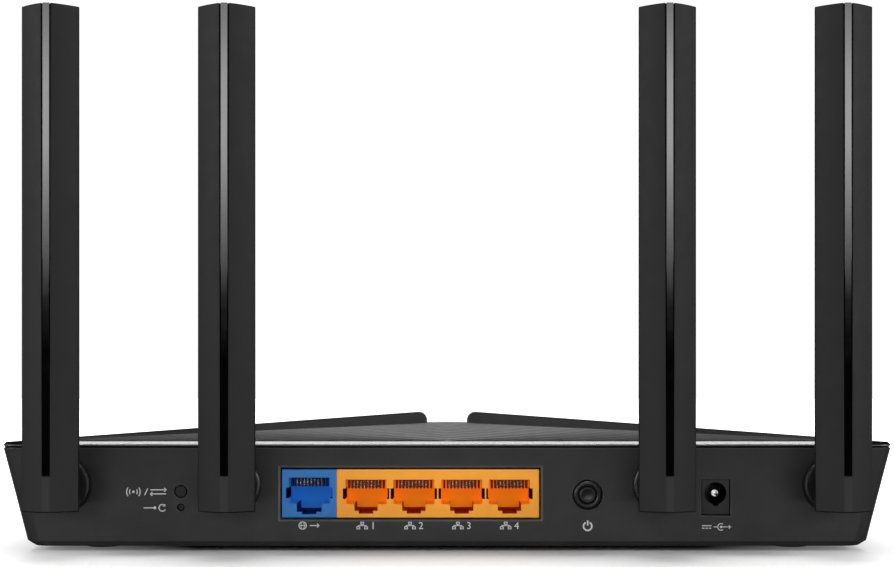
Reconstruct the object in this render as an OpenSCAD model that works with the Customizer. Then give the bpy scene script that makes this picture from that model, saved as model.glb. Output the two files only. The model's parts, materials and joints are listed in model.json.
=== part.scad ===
// Desktop wireless router with four swivelling, tilting antennas.
// Axes: +X to the right of the rear panel as its reader sees it, +Y towards the front edge, +Z up.
// Origin: on the surface it stands on, at the centre of the whole object's box.
// Inside in_case() a point is [across, distance in front of the rear panel, height above the underside].

/* [Case] */
// Width of the case along its top edge
case_top_w = 263.2; // [256:0.2:275]
// Width of the case along its underside
case_bottom_w = 247.8; // [240:0.2:252]
// Depth of the case from the rear panel to the front edge
case_depth = 135; // [130:0.5:150]
// How far the front face leans in at the underside
front_lean = 6.5; // [3:0.5:9]
// Height of the lower case at the rear panel, without its feet
case_h = 28.9; // [28:0.1:31]
// How much lower the case's upper edge is at the front than at the rear
front_drop = 4; // [0:0.5:4.5]
// Thickness of the case walls
wall = 2.2; // [1.8:0.1:2.6]
// Width of the dark seam between the lower case and the top cover
seam = 0.5; // [0.3:0.1:0.8]
// Radius of the upright corners of the case
corner_r = 5; // [3:0.1:6]

/* [Top cover] */
// Height of the ribbed valley above the seam at the rear edge
valley_rear_t = 1.2; // [1:0.1:2]
// Rise of the ribbed valley from the rear edge to the front edge
valley_rise = 1.9; // [1:0.1:3]
// Number of chevron grooves across the valley
groove_count = 12; // [6:1:13]
// Distance between chevron grooves, along the centre line
groove_pitch = 10.4; // [9:0.1:10.6]
// Width of a chevron groove, along the centre line
groove_w = 3.2; // [2:0.1:5]
// Depth of a chevron groove
groove_depth = 0.9; // [0.5:0.1:1]

/* [Wing panels] */
// Height of a wing's top above the seam at the rear corner
wing_edge_t = 1.06; // [1:0.02:1.6]
// Distance between the inner ends of the two wing panels
wing_gap = 15; // [12:0.5:24]
// Distance from the rear panel to the point where a wing's slanting edge ends
wing_tip_y = 125; // [120:0.5:127]
// Angle of the wings' slanting edges to the rear panel, in degrees
wing_angle = 46.5; // [44:0.5:48]
// Rise of a wing's top for each millimetre towards the centre
wing_slope = 0.0782; // [0.07:0.0002:0.085]
// How much higher a wing's top stands above the seam at the front than at the rear
wing_gain = 0.36; // [0:0.02:0.8]
// Radius of the rolled inner end of a wing
wing_end_r = 3.4; // [2:0.1:4]

/* [Antennas] */
// Distance of the outer antennas from the centre line
outer_x = 112.1; // [108:0.1:113]
// Distance of the inner antennas from the centre line
inner_x = 62.3; // [58:0.1:66]
// Height of the swivel axes above the underside
swivel_h = 17.9; // [17:0.1:19]
// Distance of the tilt pins behind the rear panel
pin_back = 12; // [11.5:0.1:14]
// Width of an antenna blade
blade_w = 16.4; // [15.5:0.1:18]
// Length of a blade above its tilt pin
blade_up = 136.4; // [100:0.1:160]
// Length of a blade below its tilt pin
blade_down = 6.3; // [5.5:0.1:6.5]
// Distance from the tilt pin to the ridge of a blade
ridge_back = 10; // [9:0.1:12]
// Width of the gloss strip along the ridge
strip_w = 1.9; // [1.5:0.1:2.6]

/* [Sockets] */
// Distance between neighbouring local network sockets
socket_pitch = 14.05; // [13.9:0.01:14.1]
// Place of the first local network socket across the panel
lan_x = -23.8; // [-24:0.1:-23]
// Place of the wide area network socket across the panel
wan_x = -40.5; // [-41:0.1:-40]
// Radius of the power inlet's mouth
inlet_r = 3.15; // [2.8:0.05:3.3]
// Radius of the power inlet's centre pin
inlet_pin_r = 1.25; // [1:0.05:1.25]

/* [Buttons] */
// Radius of the power button's cap
power_r = 4.1; // [3.5:0.1:4.3]
// Travel of the power button
power_travel = 2.5; // [1.5:0.1:2.6]
// Radius of the pairing button's cap
pair_r = 1.6; // [1.3:0.1:1.7]
// Radius of the reset plunger
reset_r = 0.8; // [0.6:0.05:0.85]

/* [Inside] */
// Height of the main board's top face above the underside
board_top = 8.3; // [8.2:0.1:8.4]
// Thickness of the main board
board_t = 1.6; // [1.2:0.2:1.6]
// Number of fins on the heat sink
fin_count = 9; // [5:1:11]

/* [Feet] */
// Height of the rubber feet below the underside
foot_h = 1.5; // [1:0.1:3]
// Radius of the rubber feet
foot_r = 6; // [4:0.5:8]

/* [Hidden] */
ANTENNAS = [1, 2, 3, 4];
ANTENNA_PIECES = ["base", "clip", "pin", "frame", "cover", "strip", "radiator"];

$fn = 48;
part_gap = 0.35;                    // between a moving piece and what it passes
run_gap = 0.05;                     // radial clearance of a shaft that turns in its hole
face_gap = 0.1;                     // between a turning piece and the face beside it
over = 1;                           // how far a cutting shape runs past what it cuts

antenna_back = pin_back + ridge_back;
rear_y = antenna_back - (case_depth + antenna_back) / 2;
antenna_x = [-outer_x, -inner_x, inner_x, outer_x];

floor_t = 2;
top_w = case_top_w / 2;
seam_top = case_h + seam;
cover_under = case_h - 1;           // underside of the top cover's plate, at the rear panel
pocket_h = seam_top + 0.1;          // floor of the wing pockets, at the rear panel
wing_fall = (front_drop - wing_gain) / case_depth;
valley_top = seam_top + valley_rear_t;
valley_angle = atan(valley_rise / case_depth);
valley_skin = 1.5;                  // plastic left under the chevron grooves
foot_edge = 1.4;                    // height of the chamfer around the underside
stack = 45;                         // higher than any point of the case
rim = 1.6;                          // top cover left standing around the wings
wing_tan = tan(wing_angle);
reveal = 0.15;                      // gap around each wing panel

post_x = 116;
post_y = [20, 116];
post_split = 16;                    // where the lower posts meet the cover's posts
board_post_x = 88;
board_post_y = [34, 92];
board_y = [3, 100];
board_w = 196;
foot_x = 104;
foot_y = [16, 112];
foot_recess = 0.6;

block_top = 22.5;                   // top of the sockets' block on the rear panel
block_back = 0.1;                   // how far the sockets sit inside the panel's face
block_depth = 21;
wan_left = -48.5;
lan_left = -32.5;
lan_right = 27.1;
window_gap = 0.35;                  // dark line around the sockets in the panel
plug_depth = 14;
contact_pitch = 1.02;
contact_count = 8;

inlet_x = 79;
inlet_h = 15.4;
inlet_back = 0.9;                   // how far the power inlet sits inside the panel's face
power_x = 41.3;
power_h = 15;
pair_x = -78.2;
pair_h = 16;
reset_h = 11.3;
reset_hole_r = 1.15;
flange_y = wall + 0.4;              // where the buttons' flanges stop behind the panel
flange_t = 0.8;

shaft_r = 5;
clip_y = wall + face_gap;
clip_t = 1.1;
boss_r = 7.9;
boss_t = 3;
tilt_pin_r = 1.6;
tongue_w = 7;
slot_w = 7.7;
slot_up = 3.9;
blade_edge_y = -5;                  // blade's widest line, from the tilt pin
split_y = -3.8;                     // where a blade's frame meets its cover
split_in = 0.25;                    // how much narrower a blade is there than at its widest line
blade_bow = 0.35;                   // how far the blade's flanks bow outwards
blade_face_y = 3.4;                 // face of a blade towards the case
strip_bottom = 4.2;
strip_t = 0.8;
strip_gap = 0.2;                    // dark line on each side of a gloss strip
ridge_w = strip_w + 2 * strip_gap;

light_x = [-12, -6, 0, 6, 12];
light_h = 12;

socket_x = 90;                      // outer antennas' sockets on the main board
socket_h = 1.7;
inner_lead_y = 12;
outer_lead_y = 16;

// ---------- frames ----------

// Puts [across, in front of the rear panel, above the underside] into the part's frame
module in_case() { translate([0, rear_y, foot_h]) children(); }

// Puts children modelled about a tilt pin, +Y towards the case and +Z up the blade, at antenna n
module at_antenna(n) {
  in_case() translate([antenna_x[n - 1], -pin_back, swivel_h]) children();
}

// Turns a shape drawn along +Z to run from the rear panel towards the front
module along_y() { rotate([-90, 0, 0]) children(); }

module mirrored() {
  children();
  mirror([1, 0, 0]) children();
}

// ---------- outlines ----------

function arc(cx, cy, r, a0, a1, steps) =
  [for (i = [0:steps]) let (a = a0 + (a1 - a0) * i / steps) [cx + r * cos(a), cy + r * sin(a)]];

// Rectangle from -hw to hw and from 0 to depth, with round corners
function round_outline(hw, depth, r) = concat(
  arc(hw - r, r, r, -90, 0, 6), arc(hw - r, depth - r, r, 0, 90, 6),
  arc(r - hw, depth - r, r, 90, 180, 6), arc(r - hw, r, r, 180, 270, 6));

function half_w(h) = (case_bottom_w + (case_top_w - case_bottom_w) * h / case_h) / 2;
function front_at(h) = case_depth - front_lean * (1 - h / case_h);
function fall(y) = front_drop * y / case_depth;

// Left wing seen from above; grow widens it on every side
function wing_outline(grow) = let (
    left = rim - top_w - grow, right = grow - wing_gap / 2, rear = rim - grow,
    front = case_depth - rim + grow, tip = wing_tip_y - grow / cos(wing_angle) + grow * wing_tan)
  concat([[right - (tip - rear) / wing_tan, rear], [right - 2.5, tip - 2.5 * wing_tan],
          [right - 0.8, tip - 0.4 * wing_tan], [right, tip + 1.6], [right, front]],
         arc(left + 3, front - 3, 3, 90, 180, 4), arc(left + 3, rear + 3, 3, 180, 270, 4));

// Valley between the wings seen from above
function valley_outline() = let (
    reach = (wing_tip_y - 3) / wing_tan + wing_gap / 2 - 3.2, neck = wing_gap / 2 - 2.6,
    front = case_depth - 4)
  [[-reach, 3], [reach, 3], [neck, wing_tip_y], [neck, front], [-neck, front], [-neck, wing_tip_y]];

// Right flank of an antenna blade from its widest line to its ridge, bowed outwards by bow
function flank(bow) = let (
    a = [blade_w / 2, blade_edge_y], b = [ridge_w / 2, -ridge_back], d = b - a, out = [-d[1], d[0]] / norm(d))
  [for (i = [0:5]) let (t = i / 5) a + t * d + 4 * bow * t * (1 - t) * out];

// Closed solid with the case's leaning sides, drawn in by inset all round. Its foot is drawn in more: by
// flare at the sides and by a quarter of that at the front and rear
module tub(inset, h0, h1, r, flare = 0) {
  low = inset + flare / 4;
  w0 = half_w(h0) - inset - flare;
  d0 = front_at(h0) - 2 * low;
  grow = [(half_w(h1) - inset) / w0, (front_at(h1) - 2 * inset) / d0];
  fixed_y = (inset - grow[1] * low) / (1 - grow[1]);
  translate([0, fixed_y, h0]) linear_extrude(h1 - h0, scale = grow, slices = 1)
    translate([0, low - fixed_y]) polygon(round_outline(w0, d0, r));
}

// Straight-sided block with the outline of the case's top edge
module plate(h0, h1) {
  translate([0, 0, h0]) linear_extrude(h1 - h0) polygon(round_outline(top_w, case_depth, corner_r));
}

// Everything between two planes that fall with the seam, given by their heights at the rear panel
module layer(h0, h1) {
  far = case_depth + 20;
  rotate([90, 0, 90]) linear_extrude(2 * case_top_w, center = true)
    polygon([[-20, h0 - fall(-20)], [far, h0 - fall(far)], [far, h1 - fall(far)], [-20, h1 - fall(-20)]]);
}

// Everything above the left wing's top
module above_wing() {
  lean = -atan(wing_slope);
  translate([-top_w, 0, seam_top + wing_edge_t]) rotate([-atan(wing_fall * cos(lean)), lean, 0])
    translate([-30, -30, 0]) cube([300, 220, stack]);
}

// ---------- case ----------

module bottom_case() color("#2b2b2d") in_case() difference() {
  union() {
    difference() {
      union() {
        tub(0, foot_edge, case_h + over, corner_r);
        tub(0, 0, foot_edge, corner_r, 1.8);
      }
      tub(wall, floor_t, case_h + 2 * over, corner_r - 1);
    }
    mirrored() {
      for (y = post_y) translate([post_x, y, floor_t - 0.5]) cylinder(h = post_split - floor_t + 0.5, r = 3.4);
      for (y = board_post_y) translate([board_post_x, y, floor_t - 0.5])
        cylinder(h = board_top - board_t - floor_t + 0.5, r = 2.8);
    }
  }
  rear_openings();
  mirrored() {
    for (y = post_y) translate([post_x, y, 0]) {
      translate([0, 0, -over]) cylinder(h = over + 2.4, r = 3);
      cylinder(h = post_split + over, r = 1.6);
    }
    for (y = board_post_y) translate([board_post_x, y, floor_t + 1]) cylinder(h = board_top, r = 1.1);
    for (y = foot_y) translate([foot_x, y, -over]) cylinder(h = over + foot_recess, r = foot_r);
    for (row = [0:8]) translate([22 + 6 * row, 46, -over]) cube([1.8, 34, floor_t + 2 * over]);
  }
  for (x = light_x) translate([x, case_depth - 12, light_h]) along_y() cylinder(h = 16, r = 1);
  layer(case_h, stack);
}

// Everything that passes through the rear panel
module rear_openings() {
  translate([wan_left - window_gap, -over, board_top - window_gap])
    cube([lan_right - wan_left + 2 * window_gap, wall + 2 * over, block_top - board_top + 2 * window_gap]);
  translate([inlet_x - 4.25, -over, 8.9]) cube([8.5, wall + 2 * over, 10.6]);
  translate([power_x, -over, power_h]) along_y() cylinder(h = wall + 2 * over, r = power_r + part_gap);
  translate([pair_x, -over, pair_h]) along_y() cylinder(h = wall + 2 * over, r = pair_r + part_gap);
  translate([pair_x, -over, reset_h]) along_y() cylinder(h = wall + 2 * over, r = reset_hole_r);
  for (x = antenna_x) translate([x, -over, swivel_h]) along_y() cylinder(h = wall + 2 * over, r = shaft_r);
}

module top_cover() color("#333335") in_case() difference() {
  union() {
    difference() {
      intersection() {
        tub(0, 20, stack, corner_r);
        plate(20, stack);
        layer(seam_top, stack);
      }
      translate([0, 0, valley_top]) rotate([valley_angle, 0, 0])
        translate([-case_top_w, -30, 0]) cube([2 * case_top_w, case_depth + 60, stack]);
      mirrored() above_wing();
    }
    intersection() { tub(0.4, 18, stack, corner_r); layer(case_h, seam_top + 0.2); }
    intersection() { tub(wall + 0.15, 18, stack, corner_r - 1); layer(cover_under, case_h + 0.2); }
    mirrored() for (y = post_y) translate([post_x, y, post_split])
      cylinder(h = cover_under - fall(y) + 0.5 - post_split, r = 3.4);
  }
  mirrored() {
    intersection() {
      translate([0, 0, 20]) linear_extrude(stack) polygon(wing_outline(reveal));
      layer(pocket_h, stack);
    }
    for (y = post_y) translate([post_x, y, post_split - over]) cylinder(h = 7.6 + over, r = 1.3);
  }
  translate([0, 0, valley_top]) rotate([valley_angle, 0, 0]) {
    translate([0, 0, -groove_depth]) linear_extrude(4) chevrons();
    translate([0, 0, -groove_depth - valley_skin - stack]) linear_extrude(stack) polygon(valley_outline());
  }
}

// Chevron grooves with their points on the centre line, inside the valley between the wings
module chevrons() {
  drop = top_w * wing_tan;
  intersection() {
    polygon(valley_outline());
    for (i = [1:groove_count]) translate([0, i * groove_pitch + 3.5])
      polygon([[0, 0], [top_w, -drop], [top_w, -drop - groove_w], [0, -groove_w],
               [-top_w, -drop - groove_w], [-top_w, -drop]]);
  }
}

// Left wing panel: a slope with a rolled inner end
module wing() {
  r = wing_end_r;
  end_x = -wing_gap / 2;
  end_h = seam_top + wing_edge_t + wing_slope * (top_w - wing_gap / 2 - r) - wing_fall * wing_tip_y;
  difference() {
    intersection() {
      translate([0, 0, 20]) linear_extrude(stack) polygon(wing_outline(0));
      layer(pocket_h, stack);
    }
    above_wing();
    translate([end_x - r, case_depth / 2, end_h - r]) difference() {
      cube([r + over, case_depth, r + over]);
      translate([0, -over, 0]) along_y() cylinder(h = case_depth + 2 * over, r = r);
    }
  }
}

module wing_panel_left() color("#2d2d2f") in_case() wing();

module wing_panel_right() color("#2d2d2f") in_case() mirror([1, 0, 0]) wing();

module rubber_feet() color("#1a1a1a") in_case() mirrored() for (y = foot_y)
  translate([foot_x, y, -foot_h]) rotate_extrude()
    polygon([[0, 0], [foot_r - 0.7, 0], [foot_r, 0.7], [foot_r, foot_h + foot_recess],
             [0, foot_h + foot_recess]]);

module screw(head_r, head_h, shaft_r, length) {
  difference() {
    cylinder(h = head_h, r = head_r);
    for (a = [0, 90]) rotate([0, 0, a]) cube([head_r, 0.6, head_h], center = true);
  }
  translate([0, 0, head_h]) cylinder(h = length, r = shaft_r);
}

module case_screws() color("#8c8c90") in_case() mirrored() for (y = post_y)
  translate([post_x, y, 0.6]) screw(2.8, 1.8, 1.3, post_split + 5);

// ---------- main board ----------

module main_board() color("#1f5a37") in_case() difference() {
  translate([-board_w / 2, board_y[0], board_top - board_t])
    cube([board_w, board_y[1] - board_y[0], board_t]);
  mirrored() for (y = board_post_y) translate([board_post_x, y, 0]) cylinder(h = board_top + over, r = 1.5);
}

module board_screws() color("#b0b0b4") in_case() mirrored() for (y = board_post_y)
  translate([board_post_x, y, board_top + 1.6]) rotate([180, 0, 0]) screw(2.6, 1.6, 1.1, 4.6);

// Boxes standing on the main board: each is [centre across, centre from the rear, width, depth, height]
module on_board(list) for (p = list)
  translate([p[0] - p[2] / 2, p[1] - p[3] / 2, board_top]) cube([p[2], p[3], p[4]]);

module main_processor() color("#202022") in_case() on_board([[-6, 58, 17, 17, 1.3]]);

module thermal_pad() color("#9fb4c4") in_case() translate([0, 0, 1.3]) on_board([[-6, 58, 15, 15, 0.8]]);

module heat_sink() color("#b9bcc0") in_case() translate([-28, 36, board_top + 2.1]) {
  fin_pitch = (44 - 1.4) / (fin_count - 1);
  cube([44, 44, 1.8]);
  for (i = [0:fin_count - 1]) translate([i * fin_pitch, 0, 1.7]) cube([1.4, 44, 8]);
}

module radio_shields() color("#c4c6c8") in_case() on_board([[-62, 58, 30, 26, 2.6], [52, 58, 30, 26, 2.6]]);

module memory_chips() color("#242426") in_case()
  on_board([[26, 46, 9, 12, 1.1], [26, 66, 9, 12, 1.1], [-38, 88, 8, 6, 1.4]]);

module line_transformers() color("#1c1c1e") in_case()
  on_board([for (x = [-40.5, -17, 3, 20]) [x, 27, 15, 7, 5.2]]);

module capacitors() color("#3a3f52") in_case()
  for (p = [[64, 30], [73, 34], [64, 40]]) translate([p[0], p[1], board_top]) cylinder(h = 8.5, r = 3.1);

module status_lights() color("#7fd06a") in_case() on_board([for (x = light_x) [x, 98.4, 1.6, 1.6, 0.9]]);

module antenna_sockets() color("#d0b060") in_case() mirrored()
  for (p = [[inner_x, inner_lead_y], [socket_x, outer_lead_y]]) translate([p[0], p[1], board_top]) {
    cylinder(h = 0.7, r = 1.6);
    translate([0, 0, 0.7]) cylinder(h = socket_h - 0.7, r = 1.1);
  }

// Antenna leads run from the swivel shafts and turn down to the sockets on the main board
module antenna_leads() color("#3c3c3e") in_case() mirrored() {
  lead_r = 0.6;
  turn = 3.5;
  start = 6.6;
  drop = socket_h + board_top - swivel_h;
  inner_run = inner_lead_y - start;
  outer_run = outer_lead_y - start;
  translate([inner_x, start, swivel_h]) {
    along_y() cylinder(h = inner_run - turn, r = lead_r);
    translate([0, inner_run - turn, 0]) lead_turn(turn, lead_r);
    translate([0, inner_run, drop]) cylinder(h = -drop - turn, r = lead_r);
  }
  translate([outer_x, start, swivel_h]) {
    along_y() cylinder(h = outer_run - turn, r = lead_r);
    translate([0, outer_run - turn, 0]) rotate([0, 90, 0]) lead_turn(turn, lead_r);
    translate([-turn, outer_run, 0]) rotate([0, -90, 0])
      cylinder(h = outer_x - socket_x - 2 * turn, r = lead_r);
    translate([socket_x + turn - outer_x, outer_run, 0]) rotate([0, 0, 90]) lead_turn(turn, lead_r);
    translate([socket_x - outer_x, outer_run, drop]) cylinder(h = -drop - turn, r = lead_r);
  }
}

// Quarter turn that starts at the origin towards +Y and ends towards -Z
module lead_turn(turn, r) {
  translate([0, 0, -turn]) rotate([90, 0, 90]) rotate_extrude(angle = 90) translate([turn, 0]) circle(r);
}

// ---------- sockets ----------

// Hollow of a network socket centred on x, from the heights of its top, bottom, latch slot and keyway
module plug_hollow(x, top_h, bottom_h, latch_h, key_h, latch_w) {
  depth = plug_depth + over;
  translate([x, block_back - over, 0]) {
    translate([-6.05, 0, bottom_h]) cube([12.1, depth, top_h - bottom_h]);
    translate([-latch_w / 2, 0, latch_h]) cube([latch_w, depth, bottom_h - latch_h + 0.1]);
    translate([-2.1, 0, key_h]) cube([4.2, depth - 4, latch_h - key_h + 0.1]);
    translate([-6.8, 0, bottom_h + 1.6]) cube([13.6, 8 + over, 3.1]);
  }
}

// Eight spring contacts that slope back from the top of a plug hollow
module contact_row(x, top_h) {
  for (i = [0:contact_count - 1])
    translate([x + (i - (contact_count - 1) / 2) * contact_pitch - 0.15, block_back, top_h])
      rotate([90, 0, 90]) linear_extrude(0.3)
        polygon([[1.2, 0], [1.5, 0], [1.5, -1.8], [9.5, -2.3], [9.5, -2.6], [9.1, -2.6], [1.2, -2.2]]);
}

// Comb between the contacts and beside them, hanging from the top of a plug hollow
module comb(x, top_h) {
  for (i = [-1:contact_count + 1])
    translate([x + (i - contact_count / 2) * contact_pitch - 0.3, block_back + 1, top_h - 2.5])
      cube([0.6, 4, 2.6]);
}

function lan_centre(i) = lan_x + i * socket_pitch;

module wan_jack() color("#2370bd") in_case() {
  difference() {
    translate([wan_left, block_back, board_top])
      cube([lan_left - wan_left, block_depth, block_top - board_top]);
    plug_hollow(wan_x, 19.9, 12.4, 10, 9.3, 7.3);
  }
  comb(wan_x, 19.9);
}

module wan_contacts() color("#d8b04a") in_case() contact_row(wan_x, 19.9);

module lan_jacks() color("#f7a226") in_case() {
  difference() {
    translate([lan_left, block_back, board_top])
      cube([lan_right - lan_left, block_depth, block_top - board_top]);
    for (i = [0:3]) plug_hollow(lan_centre(i), 19.3, 12.2, 10.3, 9.5, 6.8);
  }
  for (i = [0:3]) comb(lan_centre(i), 19.3);
}

module lan_contacts() color("#d8b04a") in_case() for (i = [0:3]) contact_row(lan_centre(i), 19.3);

module dc_jack_body() color("#141415") in_case() difference() {
  union() {
    translate([inlet_x - 4.6, wall + 0.2, board_top]) cube([9.2, 11.8, 11.6]);
    translate([inlet_x - 4.1, inlet_back, 9]) cube([8.2, wall, 10.4]);
  }
  translate([inlet_x, inlet_back - over, inlet_h]) along_y() cylinder(h = 9.5 + over, r = inlet_r);
  translate([inlet_x - 0.7, inlet_back - over, inlet_h - inlet_r - 0.5]) cube([1.4, 8 + over, 1.5]);
}

// Centre pin of the power inlet: a sleeve with a tip standing in its mouth
module dc_jack_pin() color("#c9c9cd") in_case() translate([inlet_x, inlet_back + 0.9, inlet_h]) along_y()
  rotate_extrude() polygon([[0, 0], [0.4, 0.1], [0.6, 0.35], [0.6, 1], [inlet_pin_r - 0.35, 1],
    [inlet_pin_r - 0.35, 0.3], [inlet_pin_r - 0.15, 0.15], [inlet_pin_r, 0.35], [inlet_pin_r, 8.6], [0, 8.6]]);

// ---------- buttons and their switches ----------

module power_button() color("#222224") in_case() translate([power_x, -0.9, power_h]) along_y() {
  rotate_extrude() polygon(concat([[0, 0.45], [0.8, 0.38]], arc(1.95, 0.65, 0.55, -130, -20, 6),
    [[2.6, 0.95]], arc(3.35, 0.75, power_r - 3.35, -165, 0, 8),
    [[power_r, flange_y + 0.9], [0, flange_y + 0.9]]));
  translate([0, 0, flange_y + 0.9]) cylinder(h = flange_t, r = power_r + 1);
  translate([0, 0, flange_y + 0.9 + flange_t]) cylinder(h = 6.4, r = 1.4);
}

module power_switch() color("#1b1b1d") in_case() difference() {
  translate([power_x - 4.2, 7.2, board_top]) cube([8.4, 12, 11.2]);
  translate([power_x, 7.2 - over, power_h]) along_y()
    cylinder(h = power_travel + 4.5 + over, r = 1.4 + part_gap);
}

module wps_button() color("#1f1f21") in_case() translate([pair_x, 0, pair_h]) along_y() {
  translate([0, 0, 0.1]) cylinder(h = flange_y - 0.1, r = pair_r);
  translate([0, 0, flange_y]) cylinder(h = flange_t, r = pair_r + 0.9);
  translate([0, 0, flange_y + flange_t]) cylinder(h = 1.2, r = 1);
}

module reset_plunger() color("#2a2a2c") in_case() translate([pair_x, 0, reset_h]) along_y() {
  translate([0, 0, 1]) cylinder(h = flange_y - 1, r = reset_r);
  translate([0, 0, flange_y]) cylinder(h = flange_t, r = reset_r + 0.7);
  translate([0, 0, flange_y + flange_t]) cylinder(h = 1.2, r = reset_r);
}

// Two push switches stacked behind the pairing and reset buttons
module reset_switch() color("#2c2c2e") in_case()
  translate([pair_x - 3, 5.4, board_top]) cube([6, 3.4, 5.4]);

module wps_switch() color("#2c2c2e") in_case() translate([pair_x - 3, 5.4, 0]) {
  translate([0, 0, board_top + 5.4]) cube([6, 3.4, 5]);
  translate([0, 3.4, board_top]) cube([6, 1.4, 10.4]);
}

module light_guide() color("#dfe8ea") in_case() intersection() {
  union() {
    translate([-15, 100.6, light_h - 1.4]) cube([30, case_depth - 109, 2.8]);
    for (x = light_x) translate([x, 120, light_h]) along_y() cylinder(h = 20, r = 0.95);
    for (x = light_x) translate([x - 1, 97.2, light_h - 1.4]) cube([2, 4, 2.4]);
  }
  tub(0, 5, case_h, corner_r);
}

// ---------- antennas ----------

// Base that turns in the rear panel and carries the tilt pin between its own face and the blade
module antenna_base(n) color("#262628") {
  in_case() translate([antenna_x[n - 1], 0, swivel_h]) along_y() difference() {
    union() {
      rotate_extrude() polygon(concat([[0, -face_gap], [0, -boss_t]],
        arc(boss_r - 1, 1 - boss_t, 1, -90, 0, 5), [[boss_r, -face_gap]]));
      translate([0, 0, -face_gap - 0.01]) cylinder(h = 5.6, r = shaft_r - run_gap);
    }
    translate([0, 0, -2]) cylinder(h = 9, r = 1.3);
    translate([0, 0, clip_y]) difference() {
      cylinder(h = clip_t, r = shaft_r + over);
      cylinder(h = clip_t, r = shaft_r - 1);
    }
  }
  at_antenna(n) rotate([90, 0, 90]) linear_extrude(tongue_w, center = true) difference() {
    union() {
      circle(3.4);
      translate([0, -3]) square([pin_back - boss_t, 6]);
    }
    circle(tilt_pin_r + run_gap);
  }
}

module antenna_clip(n) color("#a8a8ac") in_case() translate([antenna_x[n - 1], clip_y, swivel_h]) along_y()
  difference() {
    cylinder(h = clip_t, r = shaft_r + 1.7);
    translate([0, 0, -over]) cylinder(h = clip_t + 2 * over, r = shaft_r - 1);
  }

module antenna_pin(n) color("#b4b4b8") at_antenna(n)
  rotate([0, 90, 0]) cylinder(h = blade_w - 4.4, r = tilt_pin_r, center = true);

// Half of the blade towards the case: two cheeks around the tongue, and a hollow for the radiator
module antenna_frame(n) color("#242426") at_antenna(n) difference() {
  edge = blade_w / 2 - split_in;
  translate([0, 0, -blade_down]) linear_extrude(blade_down + blade_up)
    polygon([[-edge, split_y], [edge, split_y], [edge - 1.5, 2], [edge - 2.5, blade_face_y],
             [2.5 - edge, blade_face_y], [1.5 - edge, 2]]);
  translate([-slot_w / 2, split_y - over, -blade_down - over])
    cube([slot_w, blade_face_y - split_y + 2 * over, blade_down + over + slot_up]);
  rotate([0, 90, 0]) cylinder(h = blade_w - 4.4, r = tilt_pin_r, center = true);
  translate([-4.6, split_y - over, 10]) cube([9.2, over + 4.6, blade_up - 14]);
}

// Half of the blade away from the case, with its ridge and the groove for the gloss strip
module antenna_cover(n) color("#333335") at_antenna(n) difference() {
  edge = blade_w / 2 - split_in;
  outer = flank(blade_bow);
  translate([0, 0, -blade_down]) linear_extrude(blade_down + blade_up)
    polygon(concat([[edge, split_y]], outer, [for (p = [0:5]) [-outer[5 - p][0], outer[5 - p][1]]],
                   [[-edge, split_y]]));
  translate([-strip_w / 2 - strip_gap, -ridge_back - over, strip_bottom])
    cube([ridge_w, over + strip_t, blade_up]);
}

module antenna_strip(n) color("#0a0a0b") at_antenna(n)
  translate([-strip_w / 2, -ridge_back, strip_bottom]) cube([strip_w, strip_t, blade_up - strip_bottom]);

// Radiator board with its brass sleeve, in the hollow of the blade
module antenna_radiator(n) color("#c49a4c") at_antenna(n) {
  translate([-3.5, -1, 12]) cube([7, 0.8, 104]);
  translate([0, -2.4, 14]) cylinder(h = 42, r = 1.4);
}

bottom_case();
top_cover();
wing_panel_left();
wing_panel_right();
rubber_feet();
case_screws();
main_board();
board_screws();
wan_jack();
wan_contacts();
lan_jacks();
lan_contacts();
dc_jack_body();
dc_jack_pin();
power_switch();
wps_switch();
reset_switch();
light_guide();
status_lights();
main_processor();
thermal_pad();
heat_sink();
radio_shields();
memory_chips();
line_transformers();
capacitors();
antenna_sockets();
antenna_leads();
power_button();
wps_button();
reset_plunger();
for (n = ANTENNAS) {
  antenna_base(n);
  antenna_clip(n);
  antenna_pin(n);
  antenna_frame(n);
  antenna_cover(n);
  antenna_strip(n);
  antenna_radiator(n);
}
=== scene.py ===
import json
import math

import bmesh
import bpy
from mathutils import Matrix, Vector

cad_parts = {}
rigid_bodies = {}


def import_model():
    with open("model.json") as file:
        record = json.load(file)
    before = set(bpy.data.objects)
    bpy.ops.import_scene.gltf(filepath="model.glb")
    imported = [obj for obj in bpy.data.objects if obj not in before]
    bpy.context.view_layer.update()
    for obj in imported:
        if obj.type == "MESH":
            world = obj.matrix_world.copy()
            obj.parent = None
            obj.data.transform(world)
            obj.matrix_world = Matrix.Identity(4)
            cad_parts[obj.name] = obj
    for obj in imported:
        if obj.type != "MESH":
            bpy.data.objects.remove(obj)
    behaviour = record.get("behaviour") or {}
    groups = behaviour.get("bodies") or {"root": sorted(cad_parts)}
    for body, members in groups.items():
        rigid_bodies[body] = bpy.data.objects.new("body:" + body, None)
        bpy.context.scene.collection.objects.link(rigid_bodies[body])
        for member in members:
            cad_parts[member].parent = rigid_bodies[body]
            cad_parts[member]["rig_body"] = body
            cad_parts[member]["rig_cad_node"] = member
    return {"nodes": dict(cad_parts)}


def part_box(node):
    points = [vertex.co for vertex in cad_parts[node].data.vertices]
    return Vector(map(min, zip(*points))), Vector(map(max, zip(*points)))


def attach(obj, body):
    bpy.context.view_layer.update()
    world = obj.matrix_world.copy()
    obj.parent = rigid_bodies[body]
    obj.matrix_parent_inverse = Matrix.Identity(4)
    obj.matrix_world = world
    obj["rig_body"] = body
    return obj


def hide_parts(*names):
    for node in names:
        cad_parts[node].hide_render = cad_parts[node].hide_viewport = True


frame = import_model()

for leftover in [o for o in bpy.data.objects if "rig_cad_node" not in o and not o.name.startswith("body:")]:
    bpy.data.objects.remove(leftover)
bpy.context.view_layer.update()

MM = 0.001
ANTENNAS = (1, 2, 3, 4)

# ---------- places taken from the frame ----------

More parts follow.
